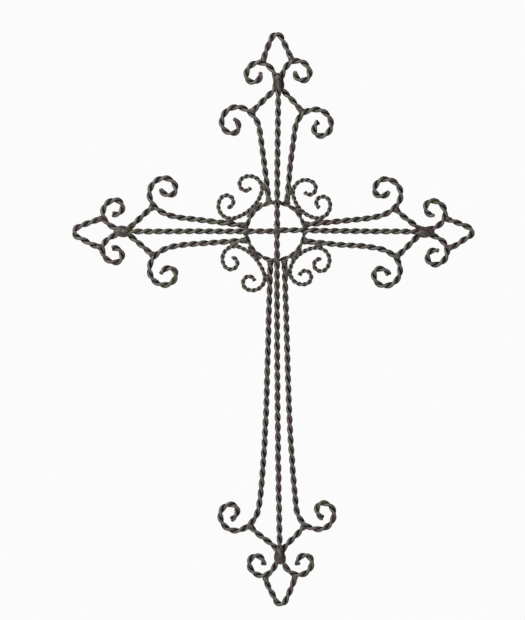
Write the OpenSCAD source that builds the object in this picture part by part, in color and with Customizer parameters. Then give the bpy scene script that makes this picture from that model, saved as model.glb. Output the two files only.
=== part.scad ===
// Hanging wall cross made of twisted iron rod, bent by hand on a jig and welded.
// Each solid is the round envelope of a rod that is twisted from two wires.
// The cross stands in the XZ plane, face towards -Y and top towards +Z, with its origin inside the peak
// of the top point, where a nail or hook bears. Lists of four go right, top, left, bottom.
// "ccw" is the flank of an arm that comes first when turning anticlockwise from it, "cw" is the other.

/* [Rods] */
// Diameter of the main rods, over the twist
rod_d = 7.8; // [6.4:0.1:9.4]
// Diameter of the lighter rods of the ring and the C-scrolls, over the twist
light_d = 5.8; // [4.8:0.1:7]

/* [Ring and crossing] */
// Radius of the ring at the middle of its rod
ring_r = 38.3; // [34:0.1:47]
// How far the ring's centre lies to the left of the crossing
ring_left = 2; // [0:0.5:3]
// How far the right half of the cross rod starts above the left half
cross_step = 1.5; // [0:0.1:2]
// Lean of the upright to the right at the crossing, from which each half bends gently to its collar
crossing_lean = 0.2; // [0:0.1:1]

/* [Side rods] */
// Distance from the crossing to the shoulders of each arm
shoulder_at = [156, 155, 161.5, 387.5]; // [129:0.5:470]
// Distance of the ccw shoulders from the middle of their arm
shoulder_out_ccw = [30.9, 32.6, 31.6, 34.6]; // [28:0.1:39]
// Distance of the cw shoulders from the middle of their arm
shoulder_out_cw = [33, 32.9, 31.8, 34.1]; // [28:0.1:39]
// Heading of the rod at its shoulder
shoulder_slope = 43; // [38:1:48]
// Where the side rods leave the ring, ccw flank: distance from the middle of the arm
root_ccw = [8.9, 10.8, 12, 10]; // [7.5:0.1:14]
// Where the side rods leave the ring, cw flank
root_cw = [13, 13.4, 7.7, 8.8]; // [7.5:0.1:14]
// Heading of the side rods where they leave the ring, ccw flank
root_slope_ccw = [5.9, 7.1, 4, 1.7]; // [0:0.1:9]
// Heading of the side rods where they leave the ring, cw flank
root_slope_cw = [6.2, 4.8, 7.2, 1.7]; // [0:0.1:9]
// Length of the straight run out of the ring
root_run = 40; // [34:1:48]
// Distance from the shoulder back to the waist, where the side rod starts to flare
waist_back = 42; // [34:1:50]
// Distance of the waist from the middle of the arm, ccw flank
waist_out_ccw = [16.4, 20.1, 17.5, 23.3]; // [14:0.1:27]
// Distance of the waist from the middle of the arm, cw flank
waist_out_cw = [19.7, 20.8, 17.2, 21.4]; // [14:0.1:27]
// Heading of the side rods at the waist
waist_slope = [5.6, 7.7, 5, 5.2]; // [3:0.1:9]

/* [Large scrolls] */
// Bend radii of the three quarter turns and the nib
scroll_r = [20.5, 14.5, 8.4, 12]; // [7:0.1:25]
// How far the crown of the scroll lies beyond its shoulder, ccw flank
crown_on_ccw = [8.8, 10.4, 8.1, 8.7]; // [6:0.1:12]
// How far the crown of the scroll lies beyond its shoulder, cw flank
crown_on_cw = [7.8, 7, 8.2, 10.5]; // [6:0.1:12]
// How far the crown of the scroll lies outside its shoulder, ccw flank
crown_out_ccw = [18.2, 20.6, 19.4, 20.7]; // [16:0.1:24]
// How far the crown of the scroll lies outside its shoulder, cw flank
crown_out_cw = [18.9, 18.8, 18.6, 20.9]; // [16:0.1:24]
// Turn of the nib, ccw flank
nib_ccw = [59, 62, 68, 69]; // [40:1:90]
// Turn of the nib, cw flank
nib_cw = [69, 56, 69, 70]; // [40:1:90]

/* [Fleur rods] */
// How far beyond the shoulder the strut stands, along the side rod, ccw flank
strut_up_ccw = [0.5, 3, 2.5, 4]; // [0:0.5:5]
// How far beyond the shoulder the strut stands, cw flank
strut_up_cw = [2.5, 3, 3, 4]; // [0:0.5:5]
// Distance from the shoulders out to the middle of the collar, where the two fleur rods lie side by side
collar_on = [42, 43.5, 44, 43.5]; // [40:0.5:56]
// Length over which they touch
collar_length = 9; // [4:0.5:12]
// Sideways set of each collar
collar_set = [-0.8, -1.9, 0.2, 3.8]; // [-4:0.1:4.6]
// Bend radius at either end of the collar
collar_r = 10; // [8:1:14]
// Turn from the collar towards the small scroll
flare_turn = 12; // [5:1:20]
// Distance from the shoulders out to the crown of the small scrolls, ccw flank
small_on_ccw = [67.8, 69.6, 70.7, 69.4]; // [66:0.1:86]
// Distance from the shoulders out to the crown of the small scrolls, cw flank
small_on_cw = [70.4, 71.8, 70.1, 70.3]; // [66:0.1:86]
// Distance of the small scrolls' crowns from the middle of the collar, ccw flank
small_out_ccw = [24.4, 25.8, 24.2, 25.6]; // [22:0.1:31]
// Distance of the small scrolls' crowns from the middle of the collar, cw flank
small_out_cw = [26.4, 24.7, 24.9, 23.7]; // [22:0.1:31]
// Bend radii of the two quarter turns and the nib
small_r = [17, 9.3, 10]; // [7:0.1:21]
// Turn of the nib, ccw flank
small_nib_ccw = [97, 104, 105, 103]; // [80:1:120]
// Turn of the nib, cw flank
small_nib_cw = [115, 98, 106, 98]; // [80:1:120]

/* [Points] */
// Distance from the shoulders out to the peak of each point
point_on = [103.3, 107, 107.9, 108]; // [96:0.1:130]
// Sideways set of each peak from its collar
point_set = [-0.4, 2.4, 0.8, 1.2]; // [-3:0.1:3]
// Bend radius at the peak
nose_r = 7; // [5.5:0.5:9]
// Slope of the legs beside the peak
nose_slope = 25; // [20:1:30]
// How far before the small scroll's crown a leg stands on it, in degrees of its bend, ccw flank
foot_back_ccw = [19, 14, 10, 14]; // [8:1:22]
// The same for the cw flank
foot_back_cw = [14, 21, 20, 13]; // [8:1:22]

/* [C-scrolls] */
// Lists of four go upper right, upper left, lower left, lower right.
// Swing of each C-scroll round the ring
c_swing = [-3, -0.5, 0.5, -2.5]; // [-4:0.5:4]
// Turn of each half of the back
back_turn = [33, 28.5, 26, 35]; // [24:0.5:37]
// Bend radii of the lobe, the curl and the tip
c_r = [16.8, 9.3, 7.6]; // [6:0.1:21]
// Turn of the lobe, ccw end
lobe_turn_ccw = [126, 139, 148, 120]; // [100:1:150]
// Turn of the lobe, cw end
lobe_turn_cw = [133, 144, 132, 143]; // [100:1:150]
// Turn of the curl
curl_turn = 108; // [90:1:120]
// Turn of the tip, ccw end
tip_turn_ccw = [110, 96, 120, 130]; // [70:1:135]
// Turn of the tip, cw end
tip_turn_cw = [90, 120, 122, 128]; // [70:1:135]

/* [Hidden] */
ARMS = ["right", "top", "left", "bottom"];
FLANKS = [["upper", "lower"], ["left", "right"], ["lower", "upper"], ["right", "left"]];
QUARTERS = ["upper_right", "upper_left", "lower_left", "lower_right"];
TOP = 1;
BOTTOM = 3;
CCW = 0;
CW = 1;
QUARTER_TURN = 90;
function flank_name(arm, flank) = str(ARMS[arm], "_", FLANKS[arm][flank]);
rod_r = rod_d / 2;
light_r = light_d / 2;
// The cross rods lie in the groove between the two rods of a collar, in front of them
front_y = -sqrt(3) * rod_r;
// The ring and its C-scrolls lie against the back of the cross rods
ring_y = front_y + rod_r + light_r;
ring_centre = [-ring_left, 0];
scroll_iron = [0.23, 0.22, 0.21];
facets = 48;
facet_length = 4;
slimmer = 0.05;
lap = 0.3;
shortest_turn = 0.001;

// Paths are drawn flat. A move is [start, heading, radius, turn], or [start, heading, 0, length] where the
// rod is straight. A positive turn goes left.
function along(heading) = [cos(heading), sin(heading)];
function left_of(heading) = [-sin(heading), cos(heading)];
function wrapped(angle) = angle - 360 * round(angle / 360);
function end_point(move) = move[2] == 0
    ? move[0] + move[3] * along(move[1])
    : move[0] + sign(move[3]) * move[2] * (left_of(move[1]) - left_of(move[1] + move[3]));
function end_heading(move) = move[2] == 0 ? move[1] : move[1] + move[3];
function last(list) = list[len(list) - 1];

// One bend that leaves start at the given heading and ends at finish
function bend_to(start, heading, finish) =
    let (chord = finish - start, turn = 2 * wrapped(atan2(chord[1], chord[0]) - heading))
    abs(turn) < shortest_turn
        ? [start, heading, 0, norm(chord)]
        : [start, heading, norm(chord) / (2 * sin(abs(turn) / 2)), turn];

// Two bends that meet smoothly, from one point and heading to another
function two_bends(start, heading, finish, finish_heading) =
    let (
        chord = finish - start,
        first = along(heading),
        second = along(finish_heading),
        a = 2 * (1 - first * second),
        b = 2 * (chord * (first + second)),
        c = chord * chord,
        reach = a < 1e-9 ? c / b : (-b + sqrt(b * b + 4 * a * c)) / (2 * a),
        middle = (start + finish + reach * (first - second)) / 2,
        bend = bend_to(start, heading, middle)
    )
    [bend, bend_to(middle, end_heading(bend), finish)];

// Bends of the given radii and turns, one after the other
function coil(start, heading, radii, turns, step = 0) =
    step == len(radii) ? [] :
    let (move = [start, heading, radii[step], turns[step]])
    concat([move], coil(end_point(move), end_heading(move), radii, turns, step + 1));

// An arm's own frame has u out along the arm and v towards the flank
function flank_sign(flank) = flank == CCW ? 1 : -1;
function turned(point, angle) = [
    point[0] * cos(angle) - point[1] * sin(angle),
    point[0] * sin(angle) + point[1] * cos(angle)
];
function to_arm(point, arm, flank) =
    let (seen = turned(point, -QUARTER_TURN * arm)) [seen[0], seen[1] * flank_sign(flank)];
function from_arm(point, arm, flank) =
    turned([point[0], point[1] * flank_sign(flank)], QUARTER_TURN * arm);
function pick(flank, ccw, cw) = flank == CCW ? ccw : cw;
function shoulder(arm, flank) = [shoulder_at[arm], pick(flank, shoulder_out_ccw, shoulder_out_cw)[arm]];
function crown(arm, flank) = shoulder(arm, flank)
    + [pick(flank, crown_on_ccw, crown_on_cw)[arm], pick(flank, crown_out_ccw, crown_out_cw)[arm]];
// The bends over the shoulder, up to the crown of the large scroll
function shoulder_bends(arm, flank) =
    two_bends(shoulder(arm, flank), shoulder_slope, crown(arm, flank), QUARTER_TURN);
function collar_middle(arm, flank) = [shoulder_at[arm] + collar_on[arm], collar_set[arm] * flank_sign(flank)];

// A side rod leaves the ring, flares at its waist, turns over its shoulder and ends in a large scroll
function side_run(arm, flank) =
    let (
        root = pick(flank, root_ccw, root_cw)[arm],
        slope = pick(flank, root_slope_ccw, root_slope_cw)[arm],
        ring = to_arm(ring_centre, arm, flank),
        inner_edge = root - rod_r * cos(slope) - ring[1],
        reach = ring[0] + sqrt((ring_r + light_r) ^ 2 - inner_edge ^ 2) - rod_r * sin(slope)
    )
    [[reach, root], slope, 0, root_run];
function scroll_path(arm, flank) =
    let (
        run = side_run(arm, flank),
        waist = [shoulder_at[arm] - waist_back, pick(flank, waist_out_ccw, waist_out_cw)[arm]],
        nib = pick(flank, nib_ccw, nib_cw)[arm]
    )
    concat(
        [run],
        two_bends(end_point(run), end_heading(run), waist, waist_slope[arm]),
        two_bends(waist, waist_slope[arm], shoulder(arm, flank), shoulder_slope),
        shoulder_bends(arm, flank),
        coil(crown(arm, flank), QUARTER_TURN, scroll_r, [QUARTER_TURN, QUARTER_TURN, QUARTER_TURN, nib])
    );

// A fleur rod struts the shoulder, touches its twin at the collar and ends in a small scroll
function fleur_stem(arm, flank) =
    let (
        bend = shoulder_bends(arm, flank)[0],
        seat = [bend[0], bend[1], bend[2], pick(flank, strut_up_ccw, strut_up_cw)[arm] / bend[2] * 180 / PI],
        foot_heading = end_heading(seat) - QUARTER_TURN,
        foot = end_point(seat) + rod_r * along(foot_heading),
        touch = collar_middle(arm, flank) + [-collar_length / 2, rod_r],
        way = touch + [0, collar_r] - foot,
        neck_turn = asin(collar_r / norm(way)) - atan2(way[1], way[0]),
        neck = touch + collar_r * [-sin(neck_turn), 1 - cos(neck_turn)],
        flare = [touch + [collar_length, 0], 0, collar_r, flare_turn]
    )
    concat(
        two_bends(foot, foot_heading, neck, -neck_turn),
        [[neck, -neck_turn, collar_r, neck_turn], [touch, 0, 0, collar_length], flare],
        two_bends(end_point(flare), flare_turn, small_crown(arm, flank), QUARTER_TURN)
    );
function small_crown(arm, flank) = [
    shoulder_at[arm] + pick(flank, small_on_ccw, small_on_cw)[arm],
    collar_middle(arm, flank)[1] + pick(flank, small_out_ccw, small_out_cw)[arm]
];
function fleur_path(arm, flank) =
    let (nib = pick(flank, small_nib_ccw, small_nib_cw)[arm])
    concat(
        fleur_stem(arm, flank),
        coil(small_crown(arm, flank), QUARTER_TURN, small_r, [QUARTER_TURN, QUARTER_TURN, nib])
    );

// Half of a point runs from its peak down to its foot on the small scroll
function peak(arm, flank) = [
    shoulder_at[arm] + point_on[arm],
    (collar_set[arm] + point_set[arm]) * flank_sign(flank)
];
function point_path(arm, flank) =
    let (
        nose = [peak(arm, flank), QUARTER_TURN, nose_r, QUARTER_TURN - nose_slope],
        shoulder_bend = last(fleur_stem(arm, flank))[2],
        foot_back = pick(flank, foot_back_ccw, foot_back_cw)[arm],
        foot = small_crown(arm, flank) - [shoulder_bend, 0] + (shoulder_bend + rod_r) * along(-foot_back)
    )
    concat([nose], two_bends(end_point(nose), end_heading(nose), foot, 180 - foot_back));

// A C-scroll has its back against the ring. The back's bend is worked out so that the C also touches the
// side rod next to it. Its frame starts at the back's middle, with u away from the ring.
function quarter_angle(quarter) = QUARTER_TURN * (quarter + 0.5) + c_swing[quarter];
function c_path(quarter, half) =
    let (
        angle = quarter_angle(quarter),
        start = ring_centre + (ring_r + light_d) * along(angle),
        out = along(angle),
        side = (half == CW ? 1 : -1) * left_of(angle),
        arm = (quarter + half) % 4,
        run = side_run(arm, half),
        rod_start = from_arm(run[0], arm, half),
        rod_step = from_arm(end_point(run), arm, half) - rod_start,
        rod_way = rod_step / norm(rod_step),
        across = [-rod_way[1], rod_way[0]],
        normal = across * sign(across * (start - rod_start)),
        gap = sqrt((rod_r + light_r) ^ 2 - ring_y ^ 2),
        touch_turn = atan2(rod_way * out, rod_way * side),
        back = back_turn[quarter],
        after_back = c_r[0] * [cos(back) - cos(touch_turn), sin(touch_turn) - sin(back)],
        missing = (rod_start - start) * normal + gap - after_back * [out * normal, side * normal],
        back_r = missing / ([1 - cos(back), sin(back)] * [out * normal, side * normal]),
        lobe = pick(half, lobe_turn_ccw, lobe_turn_cw)[quarter],
        tip = pick(half, tip_turn_ccw, tip_turn_cw)[quarter]
    )
    coil([0, 0], QUARTER_TURN, concat([back_r], c_r), -[back, lobe, curl_turn, tip]);

// Draws a path as a round rod. Every second bend is a hair slimmer and runs a little way into the bends
// beside it, so that they join as one solid. A path that carries another one on starts with a slim bend.
module rod(path, d, carries_on = false) {
    rotate([90, 0, 0])
        for (i = [0:len(path) - 1])
            let (slim = (i % 2 == 1) != carries_on, d = slim ? d - slimmer : d)
                bend(
                    path[i], d,
                    slim && (i > 0 || carries_on) ? lap : 0,
                    slim && i < len(path) - 1 ? lap : 0
                );
}
module bend(move, d, lap_before, lap_after) {
    radius = move[2];
    translate(move[0]) rotate(move[1])
        if (radius == 0)
            rotate([0, 90, 0]) translate([0, 0, -lap_before])
                cylinder(d = d, h = move[3] + lap_before + lap_after, $fn = facets);
        else
            let (before = lap_before / radius * 180 / PI, after = lap_after / radius * 180 / PI)
                translate([0, sign(move[3]) * radius])
                    rotate(move[3] > 0 ? -90 - before : 90 + move[3] - after)
                        rotate_extrude(
                            angle = abs(move[3]) + before + after,
                            $fn = max(facets, ceil(2 * PI * radius / facet_length))
                        )
                            translate([radius, 0]) circle(d = d, $fn = facets);
}
module in_arm(arm, flank) {
    rotate([0, -QUARTER_TURN * arm, 0]) mirror([0, 0, flank == CCW ? 0 : 1]) children();
}
// Moves the crossing so that the origin is inside the peak of the top point
module hung() {
    nail = from_arm(peak(TOP, CCW) - [rod_r, 0], TOP, CCW);
    translate([-nail[0], 0, -nail[1]]) children();
}

module ring() {
    color(scroll_iron) hung() translate([ring_centre[0], ring_y, ring_centre[1]]) rotate([90, 0, 0])
        rotate_extrude($fn = 2 * facets) translate([ring_r, 0]) circle(d = light_d, $fn = facets);
}
// The upright runs from the top collar to the bottom one, bent gently either side of the crossing
module upright() {
    top = from_arm(collar_middle(TOP, CCW), TOP, CCW);
    bottom = from_arm(collar_middle(BOTTOM, CCW), BOTTOM, CCW);
    up = QUARTER_TURN - crossing_lean;
    upper_half = bend_to([0, 0], up, top);
    lower_half = bend_to([0, 0], up - 2 * QUARTER_TURN, bottom);
    color(scroll_iron) hung() translate([0, front_y, 0]) {
        rod([upper_half], rod_d);
        rod([lower_half], rod_d, carries_on = true);
    }
}
// Each half of the cross rod runs from the upright's side to the collar of its arm
module cross_rod(arm, step) {
    start = [rod_r, step];
    finish = collar_middle(arm, CCW);
    color(scroll_iron) hung() translate([0, front_y, 0]) in_arm(arm, CCW)
        rod([bend_to(start, atan2(finish[1] - start[1], finish[0] - start[0]), finish)], rod_d);
}
module left_cross_rod() { cross_rod(2, 0); }
module right_cross_rod() { cross_rod(0, cross_step); }
module scroll(arm, flank) {
    color(scroll_iron) hung() in_arm(arm, flank) rod(scroll_path(arm, flank), rod_d);
}
module fleur(arm, flank) {
    color(scroll_iron) hung() in_arm(arm, flank) rod(fleur_path(arm, flank), rod_d);
}
module point(arm) {
    color(scroll_iron) hung() for (flank = [CCW, CW])
        in_arm(arm, flank) rod(point_path(arm, flank), rod_d, flank == CW);
}
module c_scroll(quarter) {
    angle = quarter_angle(quarter);
    start = ring_centre + (ring_r + light_d) * along(angle);
    color(scroll_iron) hung() translate([start[0], ring_y, start[1]]) rotate([0, -angle, 0])
        for (half = [CCW, CW]) mirror([0, 0, half == CW ? 0 : 1])
            rod(c_path(quarter, half), light_d, half == CW);
}

ring();
upright();
left_cross_rod();
right_cross_rod();
for (arm = [0:3], flank = [CCW, CW]) {
    scroll(arm, flank);
    fleur(arm, flank);
}
for (arm = [0:3])
    point(arm);
for (quarter = [0:3])
    c_scroll(quarter);
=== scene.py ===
"""A hanging wall cross of twisted iron rod: a ring at the crossing, four arms of three rods each, scrolls
on every arm, a fleur-de-lis at its end, and a C-scroll in each quarter. The cross stands in the XZ plane,
face towards -Y and top towards +Z, with its origin inside the peak of the top point."""

import math

import bmesh
import bpy
import numpy as np
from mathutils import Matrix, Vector, noise


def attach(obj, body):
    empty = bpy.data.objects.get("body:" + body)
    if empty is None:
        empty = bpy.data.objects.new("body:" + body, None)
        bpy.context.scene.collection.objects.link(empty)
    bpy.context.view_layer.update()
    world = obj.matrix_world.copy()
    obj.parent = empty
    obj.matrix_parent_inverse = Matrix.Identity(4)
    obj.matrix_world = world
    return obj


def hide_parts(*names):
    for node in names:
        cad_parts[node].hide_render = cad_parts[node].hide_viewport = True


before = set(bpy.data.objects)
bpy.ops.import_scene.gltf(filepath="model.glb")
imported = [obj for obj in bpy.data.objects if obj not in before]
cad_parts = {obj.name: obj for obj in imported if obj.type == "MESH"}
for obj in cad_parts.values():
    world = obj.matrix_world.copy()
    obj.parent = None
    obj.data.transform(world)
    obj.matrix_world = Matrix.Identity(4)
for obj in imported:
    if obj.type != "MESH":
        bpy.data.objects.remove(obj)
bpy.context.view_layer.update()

# ---------------------------------------------------------------------------------------------------------
# The ring is a hoop twisted from two light wires, closed with a weld. The upright and the cross rods lie
# across its front and are welded to it. Flat points are complex numbers, in millimetres from the crossing,
# and an arm's own frame has u out along the arm and v towards the flank. Arms go right, top, left, bottom.
CCW = 0
CW = 1
ROD_D = 7.8
LIGHT_D = 5.8
ROD_R = ROD_D / 2
LIGHT_R = LIGHT_D / 2
FRONT_Y = -math.sqrt(3) * ROD_R
RING_Y = FRONT_Y + ROD_R + LIGHT_R
RING_R = 38.3
RING_CENTRE = complex(-2, 0)
STEP = 1.1
SIDES = 12


def linear(hex_colour):
    """The linear colour of an sRGB hex string such as "3a3633"."""
    srgb = [int(hex_colour[i : i + 2], 16) / 255 for i in (0, 2, 4)]
    return [c / 12.92 if c <= 0.04045 else ((c + 0.055) / 1.055) ** 2.4 for c in srgb] + [1]


def add_node(tree, kind, links=(), **values):
    """Adds a shader node. links are (input, socket) pairs, and values are its inputs or its own settings."""
    node = tree.nodes.new(kind)
    for name, value in values.items():
        if hasattr(node, name):
            setattr(node, name, value)
        else:
            node.inputs[name.replace("_", " ")].default_value = value
    for name, socket in links:
        tree.links.new(socket, node.inputs[name])
    return node


def heading(degrees):
    return complex(math.cos(math.radians(degrees)), math.sin(math.radians(degrees)))


def arc(centre, radius, start, turn):
    """Points along an arc, about STEP apart."""
    count = max(2, round(radius * math.radians(abs(turn)) / STEP))
    return [centre + radius * heading(start + turn * i / count) for i in range(count + 1)]


def iron_material(name, groove, body, crest, roughness, twisted_rod=True):
    """Patinated iron. On twisted rods the grooves between the wires are painted near black as shade, and the
    crests are painted lighter, partly as rubbed wear and partly as a painted highlight. On other pieces the
    dark and light tones fall in random blotches. Rusty and olive patches and a grain go over this.
    """
    material = bpy.data.materials.new(name)
    material.use_nodes = True
    tree = material.node_tree
    tree.nodes.clear()
    place = add_node(tree, "ShaderNodeTexCoord").outputs["Object"]
    blotch = add_node(tree, "ShaderNodeTexNoise", [("Vector", place)], Scale=45, Detail=4, Roughness=0.6)
    speck = add_node(tree, "ShaderNodeTexNoise", [("Vector", place)], Scale=420, Detail=6, Roughness=0.7)
    rust = add_node(tree, "ShaderNodeTexNoise", [("Vector", place)], Scale=30, Detail=3, Roughness=0.5)
    crest_level = blotch.outputs["Fac"]
    if twisted_rod:
        crest_level = add_node(tree, "ShaderNodeAttribute", attribute_name="crest").outputs["Fac"]
    # painted highlight, partly rubbed wear: the crests are flecked with the lighter crest colour
    rub_and_highlight = add_node(
        tree, "ShaderNodeMath", [(0, crest_level), (1, speck.outputs["Fac"])], operation="MULTIPLY"
    )
    rubbed_and_lit = add_node(
        tree, "ShaderNodeMapRange", [("Value", rub_and_highlight.outputs[0])], From_Min=0.18, From_Max=0.62
    )
    # painted shade: where the crest share is low, between the wires, the colour goes towards the near-black
    # groove colour
    deep = add_node(
        tree, "ShaderNodeMapRange", [("Value", crest_level)], From_Min=0.55, From_Max=0.96
    )
    base = add_node(tree, "ShaderNodeMix", [("Factor", deep.outputs[0])], data_type="RGBA")
    base.inputs[6].default_value = linear(groove)
    base.inputs[7].default_value = linear(body)
    shown = add_node(tree, "ShaderNodeMix", [("Factor", rubbed_and_lit.outputs[0])], data_type="RGBA")
    tree.links.new(base.outputs[2], shown.inputs[6])
    shown.inputs[7].default_value = linear(crest)
    rusty = add_node(
        tree, "ShaderNodeMapRange", [("Value", rust.outputs["Fac"])],
        From_Min=0.53, From_Max=0.65, To_Max=0.6,
    )
    reddish = add_node(tree, "ShaderNodeMix", [("Factor", rusty.outputs[0])], data_type="RGBA")
    tree.links.new(shown.outputs[2], reddish.inputs[6])
    reddish.inputs[7].default_value = linear(RUST)
    olive = add_node(
        tree, "ShaderNodeMapRange", [("Value", rust.outputs["Fac"])],
        From_Min=0.46, From_Max=0.34, To_Max=0.65,
    )
    greenish = add_node(tree, "ShaderNodeMix", [("Factor", olive.outputs[0])], data_type="RGBA")
    tree.links.new(reddish.outputs[2], greenish.inputs[6])
    greenish.inputs[7].default_value = linear(OLIVE)
    rough = add_node(
        tree, "ShaderNodeMapRange", [("Value", blotch.outputs["Fac"])],
        To_Min=roughness - 0.12, To_Max=roughness + 0.14,
    )
    grain = add_node(
        tree, "ShaderNodeBump", [("Height", speck.outputs["Fac"])], Strength=0.5, Distance=0.0004
    )
    scale = add_node(
        tree, "ShaderNodeBump", [("Height", blotch.outputs["Fac"]), ("Normal", grain.outputs[0])],
        Strength=0.4, Distance=0.0012,
    )
    finish = add_node(
        tree, "ShaderNodeBsdfPrincipled",
        [
            ("Base Color", greenish.outputs[2]),
            ("Roughness", rough.outputs[0]),
            ("Normal", scale.outputs[0]),
        ],
        Metallic=0.3,
    )
    add_node(tree, "ShaderNodeOutputMaterial", [("Surface", finish.outputs[0])])
    return material


RUST = "4d363a"
OLIVE = "4c4d38"
# the first colour is painted shade for the grooves between the wires, and the last is a painted highlight on
# the crests, partly rubbed wear
iron = iron_material("dark patinated wrought iron", "020202", "2b2927", "6c6965", 0.5)

# length along each stock in which a wire makes a full turn
ROD_PITCH = 27
LIGHT_PITCH = 14.5
RING_PITCH = 24
# how thick a wire is and how far its middle stands off the rod's, as shares of the rod's radius
WIRE_SHARE = 0.57
HELIX_SHARE = 0.49
# a rod wanders a little from its path over this length, and its wires are dented by this share over this one
WANDER_LENGTH = 24
DENT_SHARE = 0.07
DENT_LENGTH = 9
# the angle at which each stock was last cut
cut_at = {ROD_PITCH: 0, LIGHT_PITCH: 0, RING_PITCH: 0}


def twisted(name, path, y, rod_d, pitch, wobble=0.18, closed=False):
    """Two wires twisted left-handed round a flat path, as one mesh that stands for the CAD node of that name.
    They are pressed into each other a little where they touch. The rods are cut one after another from long
    twisted stock, so the wires of each one start at the angle where the last cut left them."""
    wire_r = WIRE_SHARE * rod_d / 2
    helix_r = HELIX_SHARE * rod_d / 2
    flat = np.array(path)
    seed = sum(ord(letter) for letter in name)
    shift = [
        complex(
            noise.noise(Vector((p.real / WANDER_LENGTH, p.imag / WANDER_LENGTH, seed))),
            noise.noise(Vector((p.real / WANDER_LENGTH, p.imag / WANDER_LENGTH, seed + 50.5))),
        )
        for p in path
    ]
    flat = flat + wobble * np.array(shift)
    if closed:
        flat = flat[:-1]
        step = np.abs(np.roll(flat, -1) - flat)
        way = np.roll(flat, -1) - np.roll(flat, 1)
    else:
        step = np.abs(np.diff(flat, append=flat[-1]))
        way = np.gradient(flat)
    way = way / np.abs(way)
    length = np.concatenate([[0], np.cumsum(step)[:-1]])
    zero = np.zeros(len(flat))
    side = np.stack([-way.imag, zero, way.real], 1)
    front = np.array([0, -1, 0])
    middle = np.stack([flat.real, zero + y, flat.imag], 1)
    round_angle = np.linspace(0, 2 * math.pi, SIDES, endpoint=False)
    # how far the wires have turned is rounded to whole half turns on a closed hoop
    turns = length / pitch
    if closed:
        whole = step.sum() / pitch
        turns = turns * (round(2 * whole) / (2 * whole))
    verts = []
    faces = []
    crests = []
    for wire in (0, 1):
        angle = cut_at[pitch] + wire * math.pi - 2 * math.pi * turns
        out = np.cos(angle)[:, None] * side + np.sin(angle)[:, None] * front
        centre = middle + helix_r * out
        if closed:
            tangent = np.roll(centre, -1, 0) - np.roll(centre, 1, 0)
        else:
            tangent = np.gradient(centre, axis=0)
        tangent = tangent / np.linalg.norm(tangent, axis=1)[:, None]
        across = np.cross(tangent, out)
        across = across / np.linalg.norm(across, axis=1)[:, None]
        out = np.cross(across, tangent)
        dent = [
            1 + DENT_SHARE * noise.noise(Vector((s / DENT_LENGTH, seed, wire * 7.3))) for s in length
        ]
        rings = [(centre[i], out[i], across[i], wire_r * dent[i]) for i in range(len(flat))]
        if not closed:
            # each end is cut and filed round
            for end, sign in ((0, -1), (-1, 1)):
                place, o, a, r = rings[end]
                t = tangent[end] * sign
                cap = [(place + t * r * 0.3, o, a, r * 0.85), (place + t * r * 0.5, o, a, r * 0.45)]
                rings = cap[::-1] + rings if end == 0 else rings + cap
        first = len(verts)
        for place, o, a, r in rings:
            for turn in round_angle:
                verts.append(place + r * (math.cos(turn) * o + math.sin(turn) * a))
                # the crest share is 1 on a wire's outer side and 0 where it meets its twin; the material
                # paints shade and highlight from it
                crests.append(0.5 + 0.5 * math.cos(turn))
        count = len(rings)
        for i in range(count if closed else count - 1):
            for j in range(SIDES):
                here = first + i * SIDES
                there = first + (i + 1) % count * SIDES
                k = (j + 1) % SIDES
                faces.append((here + j, here + k, there + k, there + j))
        if not closed:
            faces.append(tuple(first + j for j in reversed(range(SIDES))))
            faces.append(tuple(first + (count - 1) * SIDES + j for j in range(SIDES)))
    cut_at[pitch] -= 2 * math.pi * turns[-1]
    mesh = bpy.data.meshes.new(name)
    verts = (np.array(verts) - [NAIL.real, 0, NAIL.imag]) / 1000
    mesh.from_pydata(verts.tolist(), [], faces)
    mesh.attributes.new("crest", "FLOAT", "POINT").data.foreach_set("value", crests)
    mesh.shade_smooth()
    mesh.materials.append(iron)
    piece = bpy.data.objects.new(name + "_twist", mesh)
    bpy.context.scene.collection.objects.link(piece)
    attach(piece, "root")
    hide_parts(name)


# where the origin lies from the crossing: on the inner edge of the top point's peak
SHOULDER_AT = (156, 155, 161.5, 387.5)
COLLAR_SET = (-0.8, -1.9, 0.2, 3.8)
POINT_ON = (103.3, 107, 107.9, 108)
POINT_SET = (-0.4, 2.4, 0.8, 1.2)
TOP = 1
NAIL = 1j * complex(SHOULDER_AT[TOP] + POINT_ON[TOP] - ROD_R, COLLAR_SET[TOP] + POINT_SET[TOP])
twisted("ring", arc(RING_CENTRE, RING_R, 0, 360), RING_Y, LIGHT_D, RING_PITCH, 0.3, closed=True)

weld_iron = iron_material("weld metal, dull grey", "33302f", "575350", "74706b", 0.55, twisted_rod=False)
LUMP_SHARE = 0.16
WELD_VOXEL = 0.0004


def weld(name, beads):
    """Weld metal that has run between rods: beads (place, y, heading, half length, half width, half depth)
    are melted into one smooth skin."""
    shape = bmesh.new()
    for number, (place, y, way, long, wide, deep) in enumerate(beads):
        ball = bmesh.ops.create_icosphere(shape, subdivisions=3, radius=1)
        for vert in ball["verts"]:
            spot = vert.co * 1.7 + Vector((number * 3.1, place.real, place.imag))
            lump = 1 + LUMP_SHARE * noise.noise(spot)
            flat = complex(vert.co.x * long, vert.co.z * wide) * heading(way) * lump + place - NAIL
            vert.co = Vector((flat.real, y + vert.co.y * deep * lump, flat.imag)) / 1000
    mesh = bpy.data.meshes.new(name)
    shape.to_mesh(mesh)
    shape.free()
    piece = bpy.data.objects.new(name, mesh)
    bpy.context.scene.collection.objects.link(piece)
    melt = piece.modifiers.new("melt", "REMESH")
    melt.mode = "VOXEL"
    melt.voxel_size = WELD_VOXEL
    melt.use_smooth_shade = True
    settle = piece.modifiers.new("settle", "SMOOTH")
    settle.iterations = 6
    mesh.materials.append(weld_iron)
    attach(piece, "root")


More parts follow.
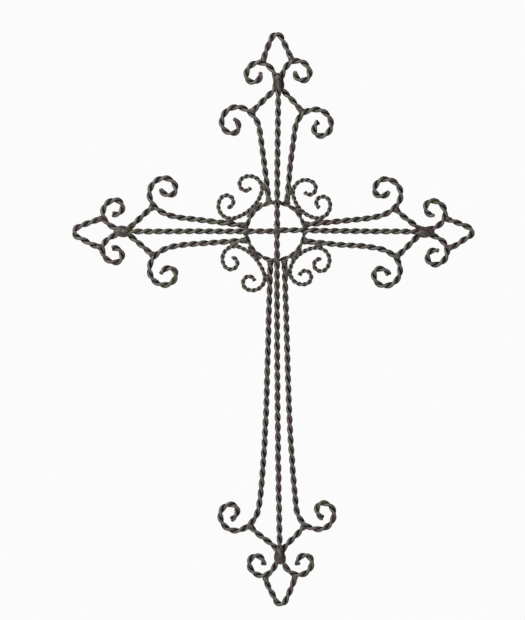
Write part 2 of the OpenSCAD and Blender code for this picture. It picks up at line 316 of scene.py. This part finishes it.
# ---------------------------------------------------------------------------------------------------------
# The upright is one twisted rod, bent gently either side of the crossing. It lies across the front of the
# ring and ends in the groove between the two fleur rods of the top and bottom collars.
COLLAR_ON = (42, 43.5, 44, 43.5)
CROSSING_LEAN = 0.2
BOTTOM = 3


def flank_sign(flank):
    return 1 if flank == CCW else -1


def from_arm(point, arm, flank):
    """A point of an arm's own frame, seen from the crossing."""
    return complex(point.real, point.imag * flank_sign(flank)) * heading(90 * arm)


def to_arm(point, arm, flank):
    seen = point * heading(-90 * arm)
    return complex(seen.real, seen.imag * flank_sign(flank))


def end_of(move):
    """Where a move ends, and its heading there. A move is (start, heading, radius, turn), or
    (start, heading, 0, length) where it is straight."""
    start, way, radius, turn = move
    if radius == 0:
        return start + turn * heading(way), way
    sign = math.copysign(1, turn)
    return start + sign * radius * (heading(way + 90) - heading(way + turn + 90)), way + turn


def along(moves):
    """Points along a path of moves, about STEP apart."""
    points = []
    for start, way, radius, turn in moves:
        length = turn if radius == 0 else radius * math.radians(abs(turn))
        count = max(1, round(length / STEP))
        for i in range(count):
            points.append(end_of((start, way, radius, turn * i / count))[0])
    return points + [end_of(moves[-1])[0]]


def collar_middle(arm, flank):
    return complex(SHOULDER_AT[arm] + COLLAR_ON[arm], COLLAR_SET[arm] * flank_sign(flank))


def degrees_of(point):
    return math.degrees(math.atan2(point.imag, point.real))


def bend_to(start, way, finish):
    """One bend that leaves start at the given heading and ends at finish."""
    chord = finish - start
    turn = 2 * ((degrees_of(chord) - way + 180) % 360 - 180)
    if abs(turn) < 0.001:
        return (start, way, 0, abs(chord))
    return (start, way, abs(chord) / (2 * math.sin(math.radians(abs(turn) / 2))), turn)


upper_half = bend_to(0j, 90 - CROSSING_LEAN, from_arm(collar_middle(TOP, CCW), TOP, CCW))
lower_half = bend_to(0j, -90 - CROSSING_LEAN, from_arm(collar_middle(BOTTOM, CCW), BOTTOM, CCW))
upright_path = along([upper_half])[::-1] + along([lower_half])[1:]
twisted("upright", upright_path, FRONT_Y, ROD_D, ROD_PITCH, 0.3)

# ---------------------------------------------------------------------------------------------------------
# The cross rod is in two halves that butt on the sides of the upright and are welded to it. Each crosses
# the front of the ring and ends in the groove of its collar. The right half starts a little higher.
CROSS_STEP = 1.5
RIGHT = 0
LEFT = 2
for name, arm, step in (("left_cross_rod", LEFT, 0), ("right_cross_rod", RIGHT, CROSS_STEP)):
    start = complex(ROD_R, step)
    finish = collar_middle(arm, CCW)
    half = (start, degrees_of(finish - start), 0, abs(finish - start))
    twisted(name, [from_arm(p, arm, CCW) for p in along([half])], FRONT_Y, ROD_D, ROD_PITCH, 0.3)
weld(
    "crossing_weld",
    [
        (0.5 + 0.6j, FRONT_Y - 0.8, 0, 6.2, 5, 3.6),
        (-3.6 - 0.6j, FRONT_Y - 0.6, 20, 3.6, 3, 3.2),
        (3.8 + 1.8j, FRONT_Y - 0.4, -15, 3.4, 3.2, 3.2),
        (0.6 + 4.6j, FRONT_Y - 0.6, 90, 3.2, 3.4, 3.2),
        (0.2 - 4.8j, FRONT_Y - 0.5, 90, 3.4, 3.6, 3.2),
    ],
)
weld("spatter", [(-3.4 + 8.4j, FRONT_Y - 0.5, 40, 1.5, 1.2, 1.4)])
ring_front = (FRONT_Y + RING_Y) / 2 - 0.4
weld(
    "ring_crossing_welds",
    [
        (RING_CENTRE - RING_R - 1, ring_front - 1.2, 90, 7, 4.4, 4.6),
        (RING_CENTRE - RING_R + 1 + 0.6j, ring_front - 2.4, 0, 4.6, 3.6, 3.4),
        (RING_CENTRE + RING_R + 1 + 1j, ring_front + 0.4, 90, 6.4, 3.6, 4),
        (complex(1.5, RING_R), ring_front + 0.6, 0, 5.2, 3, 3.6),
        (complex(-1, -RING_R), ring_front + 0.2, 0, 5.4, 3.4, 3.8),
        (complex(0.5, -RING_R - 1), ring_front - 1.6, 90, 4, 3.2, 3.2),
    ],
)

# ---------------------------------------------------------------------------------------------------------
# Each arm has two side rods welded to the edge of the ring. Each one flares, turns over its shoulder and
# is bent into a large scroll at the end, cut straight across and left open.
ARMS = ("right", "top", "left", "bottom")
FLANKS = (("upper", "lower"), ("left", "right"), ("lower", "upper"), ("right", "left"))
SHOULDER_OUT = ((30.9, 33), (32.6, 32.9), (31.6, 31.8), (34.6, 34.1))
SHOULDER_SLOPE = 43
ROOT = ((8.9, 13), (10.8, 13.4), (12, 7.7), (10, 8.8))
ROOT_SLOPE = ((5.9, 6.2), (7.1, 4.8), (4, 7.2), (1.7, 1.7))
ROOT_RUN = 40
WAIST_BACK = 42
WAIST_OUT = ((16.4, 19.7), (20.1, 20.8), (17.5, 17.2), (23.3, 21.4))
WAIST_SLOPE = (5.6, 7.7, 5, 5.2)
SCROLL_R = (20.5, 14.5, 8.4, 12)
CROWN_ON = ((8.8, 7.8), (10.4, 7), (8.1, 8.2), (8.7, 10.5))
CROWN_OUT = ((18.2, 18.9), (20.6, 18.8), (19.4, 18.6), (20.7, 20.9))
NIB = ((59, 69), (62, 56), (68, 69), (69, 70))


def dot(a, b):
    return a.real * b.real + a.imag * b.imag


def two_bends(start, way, finish, finish_way):
    """Two bends that meet smoothly, from one point and heading to another."""
    chord = finish - start
    first = heading(way)
    second = heading(finish_way)
    a = 2 * (1 - dot(first, second))
    b = 2 * dot(chord, first + second)
    c = dot(chord, chord)
    reach = c / b if a < 1e-9 else (-b + math.sqrt(b * b + 4 * a * c)) / (2 * a)
    middle = (start + finish + reach * (first - second)) / 2
    bend = bend_to(start, way, middle)
    return [bend, bend_to(middle, end_of(bend)[1], finish)]


def coil(start, way, radii, turns):
    """Bends of the given radii and turns, one after the other."""
    moves = []
    for radius, turn in zip(radii, turns):
        moves.append((start, way, radius, turn))
        start, way = end_of(moves[-1])
    return moves


def shoulder(arm, flank):
    return complex(SHOULDER_AT[arm], SHOULDER_OUT[arm][flank])


def crown(arm, flank):
    return shoulder(arm, flank) + complex(CROWN_ON[arm][flank], CROWN_OUT[arm][flank])


def side_run(arm, flank):
    """The straight run of a side rod, out from the ring's edge."""
    root = ROOT[arm][flank]
    slope = heading(ROOT_SLOPE[arm][flank])
    ring = to_arm(RING_CENTRE, arm, flank)
    inner_edge = root - ROD_R * slope.real - ring.imag
    reach = ring.real + math.sqrt((RING_R + LIGHT_R) ** 2 - inner_edge**2) - ROD_R * slope.imag
    return (complex(reach, root), ROOT_SLOPE[arm][flank], 0, ROOT_RUN)


def shoulder_bends(arm, flank):
    return two_bends(shoulder(arm, flank), SHOULDER_SLOPE, crown(arm, flank), 90)


root_beads = []
for arm in range(4):
    for flank in (CCW, CW):
        run = side_run(arm, flank)
        root = from_arm(run[0], arm, flank)
        root_way = degrees_of(from_arm(end_of(run)[0], arm, flank) - root)
        rim_way = degrees_of(root - RING_CENTRE) + 90
        root_beads.append((root - 0.5 * heading(root_way), -0.6, rim_way, 5, 3, 3.4))
        root_beads.append((root + 2.4 * heading(root_way), -0.4, root_way, 4.6, 4, 3.9))
        waist = complex(SHOULDER_AT[arm] - WAIST_BACK, WAIST_OUT[arm][flank])
        moves = [run] + two_bends(*end_of(run), waist, WAIST_SLOPE[arm])
        moves += two_bends(waist, WAIST_SLOPE[arm], shoulder(arm, flank), SHOULDER_SLOPE)
        moves += shoulder_bends(arm, flank)
        moves += coil(crown(arm, flank), 90, SCROLL_R, (90, 90, 90, NIB[arm][flank]))
        path = [from_arm(p, arm, flank) for p in along(moves)]
        name = ARMS[arm] + "_" + FLANKS[arm][flank] + "_scroll"
        twisted(name, path, 0, ROD_D, ROD_PITCH)
weld("root_welds", root_beads)

# ---------------------------------------------------------------------------------------------------------
# A fleur rod stands on each shoulder as a strut, lies beside its twin at the collar, where both are welded
# to the end of the centre rod, and is bent outwards into a small scroll.
STRUT_UP = ((0.5, 2.5), (3, 3), (2.5, 3), (4, 4))
COLLAR_LENGTH = 9
COLLAR_R = 10
FLARE_TURN = 12
SMALL_ON = ((67.8, 70.4), (69.6, 71.8), (70.7, 70.1), (69.4, 70.3))
SMALL_OUT = ((24.4, 26.4), (25.8, 24.7), (24.2, 24.9), (25.6, 23.7))
SMALL_R = (17, 9.3, 10)
SMALL_NIB = ((97, 115), (104, 98), (105, 106), (103, 98))


def small_crown(arm, flank):
    across = collar_middle(arm, flank).imag + SMALL_OUT[arm][flank]
    return complex(SHOULDER_AT[arm] + SMALL_ON[arm][flank], across)


def fleur_stem(arm, flank):
    """The moves of a fleur rod up to the crown of its small scroll."""
    start, way, radius, _ = shoulder_bends(arm, flank)[0]
    seat, seat_way = end_of((start, way, radius, math.degrees(STRUT_UP[arm][flank] / radius)))
    foot = seat + ROD_R * heading(seat_way - 90)
    touch = collar_middle(arm, flank) + complex(-COLLAR_LENGTH / 2, ROD_R)
    reach = touch + 1j * COLLAR_R - foot
    neck_turn = math.degrees(math.asin(COLLAR_R / abs(reach))) - degrees_of(reach)
    neck = touch + COLLAR_R * (1j - 1j * heading(-neck_turn))
    flare = (touch + COLLAR_LENGTH, 0, COLLAR_R, FLARE_TURN)
    moves = two_bends(foot, seat_way - 90, neck, -neck_turn)
    moves += [(neck, -neck_turn, COLLAR_R, neck_turn), (touch, 0, 0, COLLAR_LENGTH), flare]
    return moves + two_bends(*end_of(flare), small_crown(arm, flank), 90)


strut_beads = []
collar_beads = []
for arm in range(4):
    along_arm = 90 * arm
    middle = from_arm(collar_middle(arm, CCW), arm, CCW)
    out_way = heading(along_arm)
    collar_beads.append((middle - 5 * out_way, -2.2, along_arm, 9, 6, 4.2))
    collar_beads.append((middle + 2 * out_way, -1.6, along_arm, 10, 7, 5))
    collar_beads.append((middle - 3 * out_way, FRONT_Y - 0.4, along_arm, 7.5, 4.1, 3.9))
    collar_beads.append((middle, 1.6, along_arm, 8, 4.2, 3.2))
    for flank in (CCW, CW):
        moves = fleur_stem(arm, flank)
        foot = from_arm(moves[0][0], arm, flank)
        foot_way = degrees_of(from_arm(end_of(moves[0])[0], arm, flank) - foot)
        strut_beads.append((foot - 0.6 * heading(foot_way), -0.5, foot_way + 90, 5, 3, 3.5))
        strut_beads.append((foot + 1.6 * heading(foot_way), -0.3, foot_way, 3.4, 3.9, 3.8))
        moves += coil(small_crown(arm, flank), 90, SMALL_R, (90, 90, SMALL_NIB[arm][flank]))
        path = [from_arm(p, arm, flank) for p in along(moves)]
        name = ARMS[arm] + "_" + FLANKS[arm][flank] + "_fleur"
        twisted(name, path, 0, ROD_D, ROD_PITCH)
weld("strut_welds", strut_beads)
weld("collar_welds", collar_beads)

# ---------------------------------------------------------------------------------------------------------
# A point closes each fleur: one rod bent sharply at its peak, with both feet welded to the small scrolls.
# The top one takes the nail.
NOSE_R = 7
NOSE_SLOPE = 25
FOOT_BACK = ((19, 14), (14, 21), (10, 20), (14, 13))
foot_beads = []
for arm in range(4):
    halves = []
    for flank in (CCW, CW):
        across = (COLLAR_SET[arm] + POINT_SET[arm]) * flank_sign(flank)
        nose = (complex(SHOULDER_AT[arm] + POINT_ON[arm], across), 90, NOSE_R, 90 - NOSE_SLOPE)
        last_r = fleur_stem(arm, flank)[-1][2]
        foot_back = FOOT_BACK[arm][flank]
        foot = small_crown(arm, flank) - last_r + (last_r + ROD_R) * heading(-foot_back)
        moves = [nose] + two_bends(*end_of(nose), foot, 180 - foot_back)
        halves.append([from_arm(p, arm, flank) for p in along(moves)])
        leg_way = degrees_of(halves[flank][-4] - halves[flank][-1])
        foot_beads.append((halves[flank][-1], -0.5, leg_way + 90, 4.4, 2.8, 3.4))
        foot_beads.append((halves[flank][-3], -0.3, leg_way, 3.2, 3.9, 3.8))
    path = halves[0][::-1] + halves[1][1:]
    twisted(ARMS[arm] + "_point", path, 0, ROD_D, ROD_PITCH)
weld("point_welds", foot_beads)

# ---------------------------------------------------------------------------------------------------------
# The C-scrolls are twisted from the lighter wire. Each has its back welded to the ring and a side of each
# lobe welded to the side rod next to it.
QUARTERS = ("upper_right", "upper_left", "lower_left", "lower_right")
C_SWING = (-3, -0.5, 0.5, -2.5)
BACK_TURN = (33, 28.5, 26, 35)
C_R = (16.8, 9.3, 7.6)
LOBE_TURN = ((126, 133), (139, 144), (148, 132), (120, 143))
CURL_TURN = 108
TIP_TURN = ((110, 90), (96, 120), (120, 122), (130, 128))
SEAM_REACH = (6, 15, 12, 9)
SEAM_STEP = 3
SEAM_SPREAD = 0.003
c_beads = []
for quarter in range(4):
    angle = 90 * (quarter + 0.5) + C_SWING[quarter]
    start = RING_CENTRE + (RING_R + LIGHT_D) * heading(angle)
    # weld metal has run along the seam between the C-scroll's back and the ring
    seam_reach = SEAM_REACH[quarter]
    for turn in range(-seam_reach, seam_reach + 1, SEAM_STEP):
        seam = RING_CENTRE + (RING_R + LIGHT_R + SEAM_SPREAD * turn * turn) * heading(angle + turn)
        taper = 1 - 0.4 * abs(turn) / seam_reach
        c_beads.append((seam, RING_Y - 0.5, angle + turn + 90, 3.6, 3.2 * taper, 3.1 * taper))
    halves = []
    for half in (CCW, CW):
        sign = 1 if half == CW else -1
        side = sign * heading(angle + 90)
        arm = (quarter + half) % 4
        run = side_run(arm, half)
        rod_start = from_arm(run[0], arm, half)
        rod_way = from_arm(end_of(run)[0], arm, half) - rod_start
        rod_way = rod_way / abs(rod_way)
        normal = 1j * rod_way * math.copysign(1, dot(1j * rod_way, start - rod_start))
        gap = math.sqrt((ROD_R + LIGHT_R) ** 2 - RING_Y**2)
        touch = math.atan2(dot(rod_way, heading(angle)), dot(rod_way, side))
        back = math.radians(BACK_TURN[quarter])
        out = dot(heading(angle), normal)
        over = dot(side, normal)
        lobe_way = C_R[0] * (
            (math.cos(back) - math.cos(touch)) * out + (math.sin(touch) - math.sin(back)) * over
        )
        missing = dot(rod_start - start, normal) + gap - lobe_way
        back_r = missing / ((1 - math.cos(back)) * out + math.sin(back) * over)
        turns = (BACK_TURN[quarter], LOBE_TURN[quarter][half], CURL_TURN, TIP_TURN[quarter][half])
        moves = coil(0j, 90, (back_r,) + C_R, [-turn for turn in turns])
        lobe_out = back_r * (1 - math.cos(back)) + C_R[0] * (math.cos(back) - math.cos(touch))
        lobe_over = back_r * math.sin(back) + C_R[0] * (math.sin(touch) - math.sin(back))
        lobe = start + heading(angle) * lobe_out + side * lobe_over
        rod_degrees = degrees_of(rod_way)
        c_beads.append((lobe - normal * gap * 0.5, -0.6, rod_degrees, 5.6, 3.6, 3.4))
        halves.append([start + heading(angle) * complex(p.real, p.imag * sign) for p in along(moves)])
    path = halves[0][::-1] + halves[1][1:]
    twisted(QUARTERS[quarter] + "_c_scroll", path, RING_Y, LIGHT_D, LIGHT_PITCH)
weld("c_scroll_welds", c_beads)

# ---------------------------------------------------------------------------------------------------------
# A pale floor under the cross, a white surround, soft light from the front and above, and a long lens
# that looks straight at the face.
FLOOR_Z = -1.2
FLOOR_HALF = 6
floor_mesh = bpy.data.meshes.new("floor")
corners = [(-1, -1), (1, -1), (1, 1), (-1, 1)]
floor_mesh.from_pydata([(x * FLOOR_HALF, y * FLOOR_HALF, FLOOR_Z) for x, y in corners], [], [(0, 1, 2, 3)])
floor = bpy.data.objects.new("floor", floor_mesh)
bpy.context.scene.collection.objects.link(floor)
floor_paint = bpy.data.materials.new("pale matt floor")
floor_paint.use_nodes = True
floor_tree = floor_paint.node_tree
floor_tree.nodes.clear()
# most of the floor's paleness is shown to the camera only, so that it doesn't light the cross from below
matt = add_node(floor_tree, "ShaderNodeBsdfPrincipled", Base_Color=linear("f2f2f0"), Roughness=0.8)
pale = add_node(floor_tree, "ShaderNodeEmission", Color=linear("fbfbfb"))
floor_ray = add_node(floor_tree, "ShaderNodeLightPath")
PALE_SHARE = 0.75
share = add_node(
    floor_tree, "ShaderNodeMath", [(0, floor_ray.outputs["Is Camera Ray"])], operation="MULTIPLY"
)
share.inputs[1].default_value = PALE_SHARE
lit = add_node(
    floor_tree, "ShaderNodeMixShader",
    [(0, share.outputs[0]), (1, matt.outputs[0]), (2, pale.outputs[0])],
)
add_node(floor_tree, "ShaderNodeOutputMaterial", [("Surface", lit.outputs[0])])
floor_mesh.materials.append(floor_paint)

world = bpy.data.worlds.new("white surround")
bpy.context.scene.world = world
world.use_nodes = True
sky = world.node_tree
sky.nodes.clear()
seen = add_node(sky, "ShaderNodeBackground", Color=linear("fbfbfb"), Strength=1.0)
ambient = add_node(sky, "ShaderNodeBackground", Color=linear("f4f6fa"), Strength=0.035)
ray = add_node(sky, "ShaderNodeLightPath")
chosen = add_node(
    sky, "ShaderNodeMixShader",
    [(0, ray.outputs["Is Camera Ray"]), (1, ambient.outputs[0]), (2, seen.outputs[0])],
)
add_node(sky, "ShaderNodeOutputWorld", [("Surface", chosen.outputs[0])])


def soft_light(name, place, aim, size, power, colour):
    lamp = bpy.data.lights.new(name, "AREA")
    lamp.size = size
    lamp.energy = power
    lamp.color = linear(colour)[:3]
    light = bpy.data.objects.new(name, lamp)
    light.location = place
    light.rotation_euler = (Vector(aim) - Vector(place)).to_track_quat("-Z", "Y").to_euler()
    bpy.context.scene.collection.objects.link(light)


MIDDLE = (-0.0188, 0, -0.3627)
soft_light("key", (-1.6, -2.0, 1.4), MIDDLE, 0.6, 118, "fffaf4")
soft_light("fill", (1.2, -2.4, -0.6), MIDDLE, 0.7, 11, "faf9f6")
soft_light("back", (0.8, 2.2, 0.6), MIDDLE, 1.0, 45, "ffffff")

VIEW_HEIGHT = 0.8246
DISTANCE = 8
SENSOR = 36
camera = bpy.data.cameras.new("camera")
camera.sensor_width = SENSOR
camera.lens = SENSOR * DISTANCE / VIEW_HEIGHT
camera.clip_end = 50
viewer = bpy.data.objects.new("camera", camera)
viewer.location = (MIDDLE[0], -DISTANCE, MIDDLE[2])
viewer.rotation_euler = (math.pi / 2, 0, 0)
bpy.context.scene.collection.objects.link(viewer)
bpy.context.scene.camera = viewer
bpy.context.scene.view_settings.view_transform = "Standard"
